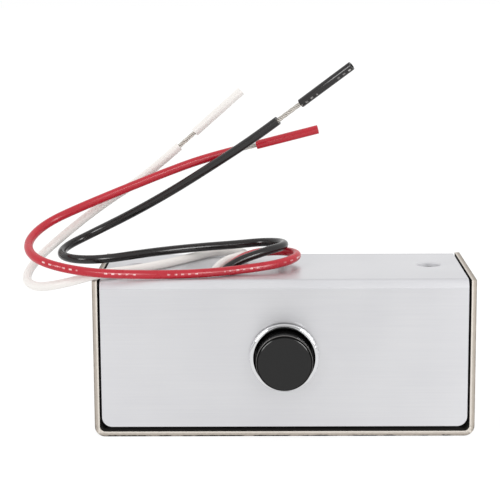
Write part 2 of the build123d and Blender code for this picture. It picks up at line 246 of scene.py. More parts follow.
def tip_slug(name, length):
    """A tube of insulation from Z = 0 to the length, with both ends hollowed a little."""
    bpy.ops.object.select_all(action="DESELECT")
    bpy.ops.mesh.primitive_cylinder_add(
        vertices=TIP_CORNERS, radius=LEAD_DIAMETER / 2, depth=length, location=(0, 0, length / 2)
    )
    slug = bpy.context.object
    slug.name = name
    bpy.ops.object.transform_apply(location=True, rotation=True, scale=True)
    bpy.ops.object.mode_set(mode="EDIT")
    bpy.ops.mesh.select_all(action="DESELECT")
    bpy.ops.object.mode_set(mode="OBJECT")
    for face in slug.data.polygons:
        face.select = abs(face.normal.z) > 0.9
    bpy.ops.object.mode_set(mode="EDIT")
    bpy.ops.mesh.bevel(offset=TIP_EDGE, segments=2, affect="EDGES")
    bpy.ops.mesh.select_all(action="DESELECT")
    bpy.ops.object.mode_set(mode="OBJECT")
    for face in slug.data.polygons:
        face.select = abs(face.normal.z) > 0.9 and len(face.vertices) > 4
    bpy.ops.object.mode_set(mode="EDIT")
    bpy.ops.mesh.inset(thickness=TIP_WALL, use_individual=True)
    bpy.ops.mesh.extrude_region_shrink_fatten(TRANSFORM_OT_shrink_fatten={"value": -TIP_HOLLOW})
    bpy.ops.object.mode_set(mode="OBJECT")
    bpy.ops.object.shade_smooth_by_angle(angle=math.radians(35))
    return slug


slugs = {}
for colour in LEAD_ROUTE:
    end, along = lead_end(colour)
    slugs[colour] = tip_slug(f"{colour}_tip", TIP_LENGTH)
    set_down(slugs[colour], end + along * BARE_LENGTH[colour], along)
    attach(slugs[colour], "housing")
    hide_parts(f"{colour}_tip_sleeve")
    print(colour, "tip:", len(slugs[colour].data.polygons), "faces")

# %% [markdown]
# With its end pieces made, each lead is attached to the housing, and the solid model's own
# lead is hidden.

for colour, lead in leads.items():
    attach(lead, "housing")
    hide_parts(f"{colour}_lead")
print("cords:", ", ".join(lead.name for lead in leads.values()))

# %% [markdown]
# The button is a moulded cap: a short cylinder with a bevelled front edge. The two edges of
# its bevel are broken, as they are in any mould, and those two hairline facets are what
# catches the light. A Bevel modifier would treat every edge alike, so the cap is shaped face
# by face: a cylinder of the solid's size is added, its front rim is bevelled, and the two
# loops round that bevel are bevelled again.

# %% Button cap: front
CAP_CORNERS = 96
CAP_BEVEL, CAP_EDGE = 0.4 * MM, 0.07 * MM
# The least and the most that the Y part of a normal can be on the cap's faces
FRONT_FACE, BEVEL_FACES, REAR_FACE = (-1.1, -0.9), (-0.8, -0.6), (0.9, 1.1)
cap_low, cap_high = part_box("button_cap")
cap_radius = (cap_high.x - cap_low.x) / 2
cap_middle = (cap_low + cap_high) / 2


def select_looking(piece, least, most):
    """Select the faces of a piece whose normal has a Y part between two values."""
    bpy.ops.object.mode_set(mode="EDIT")
    bpy.ops.mesh.select_mode(type="FACE")
    bpy.ops.mesh.select_all(action="DESELECT")
    bpy.ops.object.mode_set(mode="OBJECT")
    for face in piece.data.polygons:
        face.select = least < face.normal.y < most
    bpy.ops.object.mode_set(mode="EDIT")


bpy.ops.object.select_all(action="DESELECT")
bpy.ops.mesh.primitive_cylinder_add(
    vertices=CAP_CORNERS, radius=cap_radius, depth=cap_high.y - cap_low.y,
    location=cap_middle, rotation=(math.radians(90), 0, 0),
)
cap = bpy.context.object
cap.name = "button_cap_moulded"
bpy.ops.object.transform_apply(location=True, rotation=True, scale=True)
select_looking(cap, *FRONT_FACE)
bpy.ops.mesh.bevel(offset=CAP_BEVEL, segments=1, affect="EDGES")
bpy.ops.object.mode_set(mode="OBJECT")
select_looking(cap, *BEVEL_FACES)
bpy.ops.mesh.region_to_loop()
bpy.ops.mesh.bevel(offset=CAP_EDGE, segments=1, affect="EDGES")
bpy.ops.object.mode_set(mode="OBJECT")
print("cap front:", len(cap.data.polygons), "faces, radius", round(cap_radius / MM, 2), "mm")

# %% [markdown]
# Behind, the cap is hollow, with a boss in the middle and a socket in it for the plunger. A
# Boolean could cut this out, but insets leave clean rings of faces: the rear face is inset
# and pushed in for the hollow, inset and brought back for the boss, and inset once more and
# pushed in for the socket.

# %% Button cap: hollow back
CAP_WALL, CAP_HOLLOW = 1.3 * MM, 4.0 * MM
BOSS_RADIUS, SOCKET_RADIUS, SOCKET_DEPTH = 3.0 * MM, 1.82 * MM, 3.2 * MM
select_looking(cap, *REAR_FACE)
bpy.ops.mesh.inset(thickness=CAP_WALL)
bpy.ops.mesh.extrude_region_shrink_fatten(TRANSFORM_OT_shrink_fatten={"value": -CAP_HOLLOW})
bpy.ops.mesh.inset(thickness=cap_radius - CAP_WALL - BOSS_RADIUS)
bpy.ops.mesh.extrude_region_shrink_fatten(TRANSFORM_OT_shrink_fatten={"value": CAP_HOLLOW})
bpy.ops.mesh.inset(thickness=BOSS_RADIUS - SOCKET_RADIUS)
bpy.ops.mesh.extrude_region_shrink_fatten(TRANSFORM_OT_shrink_fatten={"value": -SOCKET_DEPTH})
bpy.ops.object.mode_set(mode="OBJECT")
bpy.ops.object.shade_smooth_by_angle(angle=math.radians(15))
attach(cap, "button")
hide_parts("button_cap")
print("whole cap:", len(cap.data.polygons), "faces")

# %% [markdown]
# The return spring is a coil of hard steel wire between the contact disc and the seat on the
# middle terminal. A winding machine feeds the wire round a pin while it moves along it, and
# a Screw modifier does the same here with one round section. When the button goes in, the
# disc comes nearer to the seat, so the coil shortens by the button's travel; here only that
# pressed length is worked out, and the coil is drawn at rest.

# %% Return spring
COIL_WIRE, COIL_CORNERS = 0.4 * MM, 14
COIL_TURNS, STEPS_IN_TURN = 4, 36
BUTTON_TRAVEL = 2.0 * MM
coil_low, coil_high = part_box("return_spring")
coil_radius = (coil_high.x - coil_low.x - COIL_WIRE) / 2
coil_length = coil_high.y - coil_low.y
bpy.ops.object.select_all(action="DESELECT")
bpy.ops.mesh.primitive_circle_add(
    vertices=COIL_CORNERS, radius=COIL_WIRE / 2,
    location=(coil_radius, 0, COIL_WIRE / 2), rotation=(math.radians(90), 0, 0),
)
coil = bpy.context.object
coil.name = "return_spring_coil"
bpy.ops.object.transform_apply(location=True, rotation=True, scale=True)
winding = coil.modifiers.new("winding", "SCREW")
winding.angle = math.radians(360) * COIL_TURNS
winding.screw_offset = coil_length - COIL_WIRE
winding.steps = winding.render_steps = STEPS_IN_TURN * COIL_TURNS
winding.use_merge_vertices = False
bpy.ops.object.modifier_apply(modifier="winding")
bpy.ops.object.mode_set(mode="EDIT")
bpy.ops.mesh.select_all(action="SELECT")
bpy.ops.mesh.fill_holes(sides=COIL_CORNERS)
bpy.ops.mesh.normals_make_consistent(inside=False)
bpy.ops.object.mode_set(mode="OBJECT")
bpy.ops.object.shade_smooth_by_angle(angle=math.radians(40))
set_down(coil, Vector((0, coil_low.y, cap_middle.z)), Vector((0, 1, 0)))
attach(coil, "housing")
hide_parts("return_spring")
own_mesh(coil)
pressed_length = coil_length - BUTTON_TRAVEL
print("spring:", round(coil_length / MM, 2), "mm long,", round(pressed_length / MM, 2), "mm pressed")

# %% [markdown]
# Colours are written as they are picked on a screen, in sRGB hex, and Blender works with
# linear light, so one function turns the first into the second. A second small function
# adds a shader node, sets its values and wires its inputs, which keeps each finish short.


# %% Helpers for finishes
def linear(hex_colour):
    """An sRGB hex colour as linear red, green, blue and alpha."""
    parts = [int(hex_colour[i : i + 2], 16) / 255 for i in (1, 3, 5)]
    return (*[c / 12.92 if c <= 0.04045 else ((c + 0.055) / 1.055) ** 2.4 for c in parts], 1.0)


def add(tree, kind, settings=None, **wires):
    """A new shader node: settings go to its properties or inputs, wires to its inputs.

    A wire is an output, or a node that stands for its own first output.
    """
    made = tree.nodes.new("ShaderNode" + kind)
    for name, value in (settings or {}).items():
        if isinstance(name, str) and hasattr(made, name):
            setattr(made, name, value)
        else:
            made.inputs[name].default_value = value
    for name, source in wires.items():
        key = int(name[1:]) if name[1:].isdigit() else name.replace("_", " ")
        output = source.outputs[0] if isinstance(source, bpy.types.Node) else source
        tree.links.new(output, made.inputs[key])
    return made


def new_finish(name):
    """A new material, its node tree, its Principled shader and its texture coordinates."""
    finish = bpy.data.materials.new(name)
    finish.use_nodes = True
    tree = finish.node_tree
    return finish, tree, tree.nodes["Principled BSDF"], add(tree, "TexCoord").outputs


def wear(finish, *names):
    """Give a finish to solid-model nodes or to new pieces."""
    for name in names:
        data = bpy.data.objects[name].data
        data.materials.clear()
        data.materials.append(finish)
    print(finish.name, "on", ", ".join(names))


print("middle grey on a screen is", round(linear("#808080")[0], 3), "in linear light")

# %% [markdown]
# The box is stainless sheet with a satin finish: an abrasive belt leaves fine lines along
# its length, so a reflection stays sharp along the lines and smears across them. Bump alone
# could give the smear, but lines this fine only sparkle, so it comes from the shader's
# anisotropy. Noise stretched along the lines varies the shade, and wider noise gives the
# faint smudges of handling. Real lines are about 0.05 mm apart, and are drawn 0.25 mm apart
# so that they show.


# %% Satin stainless sheet
LINE_LENGTH, LINE_SPACING = 14.29 * MM, 0.25 * MM
SMUDGE = 13.33 * MM
GROOVE_DEPTH = 0.01 * MM


def satin(tree, shader, lines, across):
    """Belt finish along the first coordinate of lines; gives its colour and its roughness."""
    scale = (1 / LINE_LENGTH, 1 / LINE_SPACING, 1 / LINE_SPACING)
    stretch = add(tree, "Mapping", {"Scale": scale}, Vector=lines)
    brushing = add(tree, "TexNoise", {"Scale": 1.0, "Detail": 3.0}, Vector=stretch)
    smudge = add(tree, "TexNoise", {"Scale": 1 / SMUDGE, "Detail": 2.0}, Vector=lines)
    mottled = add(tree, "Mix", {"data_type": "FLOAT", 0: 0.55}, _2=brushing, _3=smudge)
    bright = add(tree, "MapRange", {"From Min": 0.3, "From Max": 0.7}, Value=mottled)
    tint = add(tree, "Mix", {"data_type": "RGBA", 6: linear("#D4D4D7"), 7: linear("#DADADC")},
               _0=bright)
    rough = add(tree, "MapRange", {"To Min": 0.29, "To Max": 0.34}, Value=brushing)
    hazed = add(tree, "Math", {"operation": "MULTIPLY_ADD", 1: 0.10}, _0=smudge, _2=rough)
    grooves = add(tree, "Bump", {"Strength": 0.03, "Distance": GROOVE_DEPTH}, Height=brushing)
    shader.inputs["Metallic"].default_value = 1.0
    shader.inputs["Anisotropic"].default_value = 0.7
    tree.links.new(across.outputs[0], shader.inputs["Tangent"])
    tree.links.new(grooves.outputs[0], shader.inputs["Normal"])
    return tint.outputs[2], hazed


print("belt lines drawn", round(LINE_SPACING / MM, 2), "mm apart")

# %% [markdown]
# The cover was folded in a press brake, which leaves a faint line on each side of a fold. The
# dark lines are also a painted reflection: the darker band where the sheet's reflection
# changes at the fold. A picture could be wrapped round the sheet, but the lines lie at known
# places, so they are drawn by the distance from where a fold begins. The die's shoulder marks the top
# more widely than the punch marks the front, and the punch's line is the fainter one.

# %% Cover: lines beside the folds
FOLD_RADIUS = 1.6 * MM
LINE_CORE, LINE_EDGE, LINE_STRENGTH = 0.06 * MM, 0.22 * MM, 0.35
FAINTER, TIMES_WIDER = 0.13 * MM, 4
cover_low, cover_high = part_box("cover")
cover_front, cover_top = -cover_low.y, cover_high.z
steel, tree, shader, coordinates = new_finish("satin_stainless_cover")
around = add(tree, "Tangent", {"direction_type": "RADIAL", "axis": "X"})
tint, rough = satin(tree, shader, coordinates["Object"], around)
at = add(tree, "SeparateXYZ", None, Vector=coordinates["Object"]).outputs
depth = add(tree, "Math", {"operation": "ABSOLUTE"}, _0=at["Y"])
front_line = add(tree, "Math", {"operation": "SUBTRACT", 1: cover_top - FOLD_RADIUS}, _0=at["Z"])
front_line = add(tree, "Math", {"operation": "ABSOLUTE"}, _0=front_line)
front_line = add(tree, "Math", {"operation": "ADD", 1: FAINTER}, _0=front_line)
top_line = add(tree, "Math", {"operation": "SUBTRACT", 1: cover_front - FOLD_RADIUS}, _0=depth)
top_line = add(tree, "Math", {"operation": "ABSOLUTE"}, _0=top_line)
top_line = add(tree, "Math", {"operation": "MULTIPLY", 1: 1 / TIMES_WIDER}, _0=top_line)
nearest = add(tree, "Math", {"operation": "MINIMUM"}, _0=front_line, _1=top_line)
# Dark lines beside the folds: press-brake marks and a painted reflection together
fold = add(tree, "MapRange", {"From Min": LINE_CORE, "From Max": LINE_EDGE,
                              "To Min": LINE_STRENGTH, "To Max": 0.0}, Value=nearest)
folded = add(tree, "Mix", {"data_type": "RGBA", 7: linear("#A9A9AC")}, _0=fold, _6=tint)
print("fold line on the front", round((cover_top - FOLD_RADIUS) / MM, 2), "mm up")

# %% [markdown]
# The belt finish is on the outer side of the sheet only. The inside is dull from the rolling
# mill, and it is painted dark grey as shade, for it lies in the shadow of the box. A fold is
# stretched, which dulls it, and a punch leaves the walls of its holes rough. The faces could
# each have a material of their own, but the node is one mesh of loose triangles, so each kind
# is found by its place: the inside lies nearly a sheet's thickness deep, and the wall of a hole stands
# upright within the top.

# %% Cover: painted shade inside, folds and punched holes
NEARLY_THROUGH, FOLD_MARGIN = 0.9 * MM, 0.06 * MM
# What each kind of face adds to the roughness
SKIN_DULLS, FOLD_DULLS, PUNCH_DULLS = 0.25, 0.28, 0.45
in_depth = add(tree, "Math", {"operation": "LESS_THAN", 1: cover_front - NEARLY_THROUGH}, _0=depth)
in_height = add(tree, "Math", {"operation": "LESS_THAN", 1: cover_top - NEARLY_THROUGH}, _0=at["Z"])
inside = add(tree, "Math", {"operation": "MULTIPLY"}, _0=in_depth, _1=in_height)
# Painted shade: the inside of the sheet is coloured dark grey
skin = add(tree, "Mix", {"data_type": "RGBA", 7: linear("#4C4A48")}, _0=inside, _6=folded.outputs[2])
dull = add(tree, "Math", {"operation": "MULTIPLY_ADD", 1: SKIN_DULLS}, _0=inside, _2=rough)
fold_front = cover_front - FOLD_RADIUS - FOLD_MARGIN
fold_low = cover_top - FOLD_RADIUS - FOLD_MARGIN
past_front = add(tree, "Math", {"operation": "GREATER_THAN", 1: fold_front}, _0=depth)
past_low = add(tree, "Math", {"operation": "GREATER_THAN", 1: fold_low}, _0=at["Z"])
in_fold = add(tree, "Math", {"operation": "MULTIPLY"}, _0=past_front, _1=past_low)
dull = add(tree, "Math", {"operation": "MULTIPLY_ADD", 1: FOLD_DULLS}, _0=in_fold, _2=dull)
facing = add(tree, "SeparateXYZ", None, Vector=coordinates["Normal"]).outputs
upright = add(tree, "Math", {"operation": "COMPARE", 1: 0.0, 2: 0.5}, _0=facing["Z"])
in_top = add(tree, "Math", {"operation": "SUBTRACT"}, _0=in_depth, _1=inside)
punched = add(tree, "Math", {"operation": "MULTIPLY"}, _0=upright, _1=in_top)
dull = add(tree, "Math", {"operation": "MULTIPLY_ADD", 1: PUNCH_DULLS}, _0=punched, _2=dull)
tree.links.new(skin.outputs[2], shader.inputs["Base Color"])
tree.links.new(dull.outputs[0], shader.inputs["Roughness"])
wear(steel, "cover")

# %% [markdown]
# The base channel is one strip of the same sheet, folded up at both ends, so its belt lines
# turn the corner with it. Lines along X would stop at the folds. A coordinate that is laid
# out along the strip, the distance from the middle plus the height, carries them round.

# %% Base channel: belt finish along the strip
base_low, base_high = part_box("base_channel")
steel, tree, shader, coordinates = new_finish("satin_stainless_channel")
at = add(tree, "SeparateXYZ", None, Vector=coordinates["Object"]).outputs
facing = add(tree, "SeparateXYZ", None, Vector=coordinates["Normal"]).outputs
side = add(tree, "Math", {"operation": "ABSOLUTE"}, _0=at["X"])
along_strip = add(tree, "Math", {"operation": "ADD"}, _0=side, _1=at["Z"])
unfolded = add(tree, "CombineXYZ", None, X=along_strip, Y=at["Y"])
sideways = add(tree, "CombineXYZ", {"Y": 1.0})
tint, rough = satin(tree, shader, unfolded, sideways)
print("channel:", round((base_high.x - base_low.x) / MM, 2), "mm long")

# %% [markdown]
# The channel shows its cut edges to the front. A shear leaves a bright burnished band and a
# torn, darker one, with small dark burrs at the corner where the blade left the sheet. They
# are too fine to model one by one, so the bands are drawn by the distance from the outer
# face, made wavy by the grain of the tear, and the burrs by noise along that corner. Along
# the bottom the dark spots are also painted contact shadow, so they fade a little way up the end walls.

# %% Base channel: bands and burrs of a sheared edge, with painted contact shadow
TEAR_GRAIN, TEAR_WAVE = 0.667 * MM, 0.25 * MM
TORN_END, BURNISHED_START = 0.65 * MM, 0.9 * MM
BURR_SPACING = 2.38 * MM
LIP_CORE, LIP_EDGE = 0.30 * MM, 0.42 * MM
FOOT_LOW, FOOT_HIGH = 0.5 * MM, 3 * MM
from_side = add(tree, "Math", {"operation": "SUBTRACT", 0: base_high.x}, _1=side)
from_outer = add(tree, "Math", {"operation": "MINIMUM"}, _0=from_side, _1=at["Z"])
torn = add(tree, "TexNoise", {"Scale": 1 / TEAR_GRAIN, "Detail": 4.0}, Vector=coordinates["Object"])
burr = add(tree, "TexNoise", {"Scale": 1 / BURR_SPACING, "Detail": 2.0}, Vector=coordinates["Object"])
wavy = add(tree, "Math", {"operation": "MULTIPLY_ADD", 1: TEAR_WAVE}, _0=torn, _2=from_outer)
band = add(tree, "MapRange", {"From Min": TORN_END, "From Max": BURNISHED_START}, Value=wavy)
sheared = add(tree, "Mix", {"data_type": "RGBA", 6: linear("#A79F96"), 7: linear("#CBC5BD")},
              _0=band)
lip = add(tree, "MapRange", {"From Min": LIP_CORE, "From Max": LIP_EDGE, "To Min": 1.0, "To Max": 0.0},
          Value=wavy)
spots = add(tree, "MapRange", {"From Min": 0.40, "From Max": 0.54, "To Min": 0.4}, Value=burr)
# Painted contact shadow: the dark spots are darkest at the foot, where the box meets the paper
painted_contact_shadow = add(tree, "MapRange", {"From Min": FOOT_LOW, "From Max": FOOT_HIGH, "To Min": 1.0, "To Max": 0.3},
           Value=at["Z"])
burrs_and_contact_shadow = add(tree, "Math", {"operation": "MULTIPLY"}, _0=lip, _1=spots)
burrs_and_contact_shadow = add(tree, "Math", {"operation": "MULTIPLY"}, _0=burrs_and_contact_shadow, _1=painted_contact_shadow)
edge = add(tree, "Mix", {"data_type": "RGBA", 7: linear("#171512")}, _0=burrs_and_contact_shadow, _6=sheared.outputs[2])
print("burrs about", round(BURR_SPACING / MM, 2), "mm apart")

# %% [markdown]
# The cut edges are found by their normals: they face the front and the back, and up at the
# top of the end walls. The inside is dull from the rolling mill and painted dark grey as shade, as the
# cover's is.

# %% Base channel: where it is cut, and the painted shade inside
CUT_FACING, CUT_DULLS = 0.8, 0.22
TOP_EDGE = 0.15 * MM
cut_front = add(tree, "Math", {"operation": "ABSOLUTE"}, _0=facing["Y"])
at_top = add(tree, "Math", {"operation": "GREATER_THAN", 1: base_high.z - TOP_EDGE}, _0=at["Z"])
cut_top = add(tree, "Math", {"operation": "MULTIPLY"}, _0=facing["Z"], _1=at_top)
cut = add(tree, "Math", {"operation": "MAXIMUM"}, _0=cut_front, _1=cut_top)
cut = add(tree, "Math", {"operation": "GREATER_THAN", 1: CUT_FACING}, _0=cut)
in_side = add(tree, "Math", {"operation": "LESS_THAN", 1: base_high.x - NEARLY_THROUGH}, _0=side)
above = add(tree, "Math", {"operation": "GREATER_THAN", 1: NEARLY_THROUGH}, _0=at["Z"])
inside = add(tree, "Math", {"operation": "MULTIPLY"}, _0=in_side, _1=above)
# Painted shade: the inside of the channel is coloured dark grey
skin = add(tree, "Mix", {"data_type": "RGBA", 7: linear("#403E3C")}, _0=inside, _6=tint)
shade = add(tree, "Mix", {"data_type": "RGBA"}, _0=cut, _6=skin.outputs[2], _7=edge.outputs[2])
dull = add(tree, "Math", {"operation": "MAXIMUM"}, _0=cut, _1=inside)
dull = add(tree, "Math", {"operation": "MULTIPLY_ADD", 1: CUT_DULLS}, _0=dull, _2=rough)
tree.links.new(shade.outputs[2], shader.inputs["Base Color"])
tree.links.new(dull.outputs[0], shader.inputs["Roughness"])
wear(steel, "base_channel")

# %% [markdown]
# The bezel is brass with bright chrome plate. Chrome is nearly a mirror, so it shows the
# room: a white table below, white light above and a dark room behind the camera. It does not
# send back all the light that falls on it, so its colour is a light grey and not white. Fine
# polishing marks soften it a little, drawn much coarser than real ones so that they show.
# The ring is nearly black inside, with thin dark lines at its foot: the chrome there is
# painted dark as shade, so it darkens behind the rounded rim.

# %% Chrome bezel
POLISH_MARKS = 1.11 * MM
# How far in front of the panel the painted shade on the chrome starts, and where it is full
RIM_END, DARK_FROM = 0.775 * MM, 0.525 * MM
chrome, tree, shader, coordinates = new_finish("bright_chrome_plate")
polish = add(tree, "TexNoise", {"Scale": 1 / POLISH_MARKS, "Detail": 3.0}, Vector=coordinates["Object"])
gloss = add(tree, "MapRange", {"To Min": 0.03, "To Max": 0.12}, Value=polish)
tint = add(tree, "Mix", {"data_type": "RGBA", 6: linear("#CFD0D2"), 7: linear("#DBDBDC")}, _0=polish)
at = add(tree, "SeparateXYZ", None, Vector=coordinates["Object"]).outputs
seat = add(tree, "MapRange", {"From Min": cover_low.y - RIM_END, "From Max": cover_low.y - DARK_FROM},
           Value=at["Y"])
# Painted shade on the chrome inside the ring and at its foot
shaded = add(tree, "Mix", {"data_type": "RGBA", 7: linear("#242424")}, _0=seat, _6=tint.outputs[2])
shader.inputs["Metallic"].default_value = 1.0
tree.links.new(shaded.outputs[2], shader.inputs["Base Color"])
tree.links.new(gloss.outputs[0], shader.inputs["Roughness"])
wear(chrome, "bezel_bushing")

# %% [markdown]
# The button is moulded ABS, black all through. Its face came out of a polished mould, so it
# is smooth, with the faint orange-peel ripple of plastic that shrank as it cooled. The ripple
# is far too shallow to model, so bump gives it, and the gloss varies with it.

# %% Black button: ripple
RIPPLE, RIPPLE_DEPTH = 1.43 * MM, 0.02 * MM
abs_black, tree, shader, coordinates = new_finish("black_moulded_abs")
ripple = add(tree, "TexNoise", {"Scale": 1 / RIPPLE, "Detail": 2.0}, Vector=coordinates["Object"])
peel = add(tree, "Bump", {"Strength": 0.04, "Distance": RIPPLE_DEPTH}, Height=ripple)
gloss = add(tree, "MapRange", {"To Min": 0.12, "To Max": 0.20}, Value=ripple)
tree.links.new(gloss.outputs[0], shader.inputs["Roughness"])
tree.links.new(peel.outputs[0], shader.inputs["Normal"])
print("ripple", round(RIPPLE / MM, 2), "mm wide on", abs_black.name)

# %% [markdown]
# Fingers rub the outer edge of the bevel, which goes grey, and the grey also stands in for a
# painted highlight along that edge. It is found as what lies near the cap's full radius and in
# front of the bevel's rear edge. The face shines most, and the bevel and the wall much less, so the
# specular level follows the normal.

# %% Black button: rubbed edge with painted highlight, and shine
RUB_START, RUB_FULL, RUB_FADE = 0.10 * MM, 0.04 * MM, 0.2 * MM
FACE_SHINE, WALL_SHINE = 0.36, 0.04
at = add(tree, "SeparateXYZ", None, Vector=coordinates["Object"]).outputs
across = add(tree, "CombineXYZ", None, X=at["X"], Z=at["Z"])
radius = add(tree, "VectorMath", {"operation": "DISTANCE", 1: (0, 0, cap_middle.z)}, _0=across)
rim = add(tree, "MapRange", {"From Min": cap_radius - RUB_START, "From Max": cap_radius - RUB_FULL},
          Value=radius.outputs["Value"])
bevel_rear = cap_low.y + CAP_BEVEL + CAP_EDGE
ahead = add(tree, "MapRange", {"From Min": bevel_rear, "From Max": bevel_rear + RUB_FADE,
                               "To Min": 1.0, "To Max": 0.0}, Value=at["Y"])
rubbed_and_highlight = add(tree, "Math", {"operation": "MULTIPLY"}, _0=rim, _1=ahead)
# The grey rim is wear and painted highlight together
worn = add(tree, "Mix", {"data_type": "RGBA", 6: linear("#0A0A0A"), 7: linear("#6A6866")}, _0=rubbed_and_highlight)
facing = add(tree, "SeparateXYZ", None, Vector=coordinates["Normal"]).outputs
shine = add(tree, "MapRange", {"From Min": -0.86, "From Max": -0.78,
                               "To Min": FACE_SHINE, "To Max": WALL_SHINE}, Value=facing["Y"])
tree.links.new(worn.outputs[2], shader.inputs["Base Color"])
tree.links.new(shine.outputs[0], shader.inputs["Specular IOR Level"])
wear(abs_black, "button_cap_moulded")

# %% [markdown]
# The insulation is extruded vinyl: an even colour with a soft shine, faint lines along the
# wire from the die, and slight differences in shade where it has been handled. On a bevelled
# curve, U runs along the wire and V round it, so lines across V lie along the wire, however
# it bends. Real die lines are finer, and are drawn coarser here so that they show. The slugs
# are meshes, so they have a fine grain in place of the lines.


# %% Wire insulation
DIE_LINE_LENGTH, DIE_LINE_SPACING = 31 * MM, 0.257 * MM
HANDLED, FINE_GRAIN, SKIN_DEPTH = 3.85 * MM, 0.4 * MM, 0.02 * MM
GIRTH = math.pi * LEAD_DIAMETER
# Light shade, dark shade and roughness of each colour
VINYL = {
    "red": ("#B60F27", "#A20A1E", 0.28),
    "black": ("#171213", "#0E0B0B", 0.20),
    "white": ("#E2DFDB", "#DAD6D2", 0.40),
}


def insulation(name, light, dark, roughness, drawn_length):
    """Extruded vinyl in two close shades, with die lines where a curve of some length wears it."""
    finish, tree, shader, coordinates = new_finish(name)
    handled = add(tree, "TexNoise", {"Scale": 1 / HANDLED, "Detail": 3.0}, Vector=coordinates["Object"])
    tint = add(tree, "Mix", {"data_type": "RGBA", 6: linear(dark), 7: linear(light)}, _0=handled)
    shine = add(tree, "MapRange", {"To Min": roughness - 0.08, "To Max": roughness + 0.08}, Value=handled)
    pattern, scale = coordinates["Object"], 1 / FINE_GRAIN
    if drawn_length:
        counts = (drawn_length / DIE_LINE_LENGTH, GIRTH / DIE_LINE_SPACING, 1)
        pattern, scale = add(tree, "Mapping", {"Scale": counts}, Vector=coordinates["UV"]), 1.0
    relief = add(tree, "TexNoise", {"Scale": scale, "Detail": 2.0}, Vector=pattern)
    skin = add(tree, "Bump", {"Strength": 0.03, "Distance": SKIN_DEPTH}, Height=relief)
    tree.links.new(tint.outputs[2], shader.inputs["Base Color"])
    tree.links.new(shine.outputs[0], shader.inputs["Roughness"])
    tree.links.new(skin.outputs[0], shader.inputs["Normal"])
    return finish


vinyl = {}
for colour, look in VINYL.items():
    vinyl[colour] = insulation(f"{colour}_vinyl_wire", *look, LEAD_LENGTH[colour])
    wear(vinyl[colour], f"{colour}_wire")
    wear(insulation(f"{colour}_vinyl_tip", *look, 0), f"{colour}_tip")

# %% [markdown]
# The red wire and the black wire's slug have a row of pale ink marks, as a wire maker prints
# them while the wire runs past. Here they are plain dashes in groups, partly rubbed off. The
# dashes could be thin pieces laid on the wire, but ink has no thickness to see, so it is
# part of the finish: a repeating step along the wire, kept to one narrow row.


# %% Ink marks
MARK_PITCH, MARK_SHARE = 1.36 * MM, 0.42
GROUP_PITCH, GROUP_SHARE = 11.9 * MM, 0.6
RUBBED_PATCH, INK_STRENGTH = 1.43 * MM, 0.7


def ink(finish, shade, along, in_row):
    """Dashes on a finish, from the distance along the wire and the share of ink across it."""
    tree = finish.node_tree
    shader = tree.nodes["Principled BSDF"]
    plain = shader.inputs["Base Color"].links[0].from_socket
    places = add(tree, "TexCoord").outputs["Object"]
    inked = in_row
    for pitch, share in ((MARK_PITCH, MARK_SHARE), (GROUP_PITCH, GROUP_SHARE)):
        step = add(tree, "Math", {"operation": "MULTIPLY", 1: 1 / pitch}, _0=along)
        step = add(tree, "Math", {"operation": "FRACT"}, _0=step)
        step = add(tree, "Math", {"operation": "LESS_THAN", 1: share}, _0=step)
        inked = add(tree, "Math", {"operation": "MULTIPLY"}, _0=inked, _1=step)
    worn = add(tree, "TexNoise", {"Scale": 1 / RUBBED_PATCH, "Detail": 2.0}, Vector=places)
    left = add(tree, "MapRange", {"From Min": 0.40, "From Max": 0.62, "To Min": 1.0, "To Max": 0.15},
               Value=worn)
    inked = add(tree, "Math", {"operation": "MULTIPLY"}, _0=inked, _1=left)
    marked = add(tree, "Mix", {"data_type": "RGBA", 7: linear(shade)}, _0=inked, _6=plain)
    tree.links.new(marked.outputs[2], shader.inputs["Base Color"])
    print("ink marks", round(MARK_PITCH * MARK_SHARE / MM, 2), "mm long on", finish.name)


print("groups of marks every", round(GROUP_PITCH / MM, 1), "mm")

# %% [markdown]
# On the red wire the marks follow X, because its long runs lie that way, and V keeps them in
# their row.

# %% Marks on the red wire
# How far round the wire the row lies, as a share of one turn, and its half width
MARK_ROW = 0.20
ROW_CORE, ROW_EDGE = 0.0905 * MM, 0.2036 * MM
tree = vinyl["red"].node_tree
coordinates = add(tree, "TexCoord").outputs
at = add(tree, "SeparateXYZ", None, Vector=coordinates["Object"]).outputs
round_wire = add(tree, "SeparateXYZ", None, Vector=coordinates["UV"]).outputs
off_row = add(tree, "Math", {"operation": "SUBTRACT", 1: MARK_ROW}, _0=round_wire["Y"])
off_row = add(tree, "Math", {"operation": "ABSOLUTE"}, _0=off_row)
row = add(tree, "MapRange", {"From Min": ROW_CORE / GIRTH, "From Max": ROW_EDGE / GIRTH,
                             "To Min": INK_STRENGTH, "To Max": 0.0}, Value=off_row)
ink(vinyl["red"], "#F1DEDC", at["X"], row)

# %% [markdown]
# The slug is straight, so the distance along it is a dot product, and its row is the part of
# it that faces one way.

# %% Marks on the black slug
ROW_FACING = Vector((0.07, -0.87, -0.49)).normalized()
# How much a normal on the row agrees with that direction, at the row's edge and in its core
EDGE_AGREES, CORE_AGREES = 0.955, 0.985
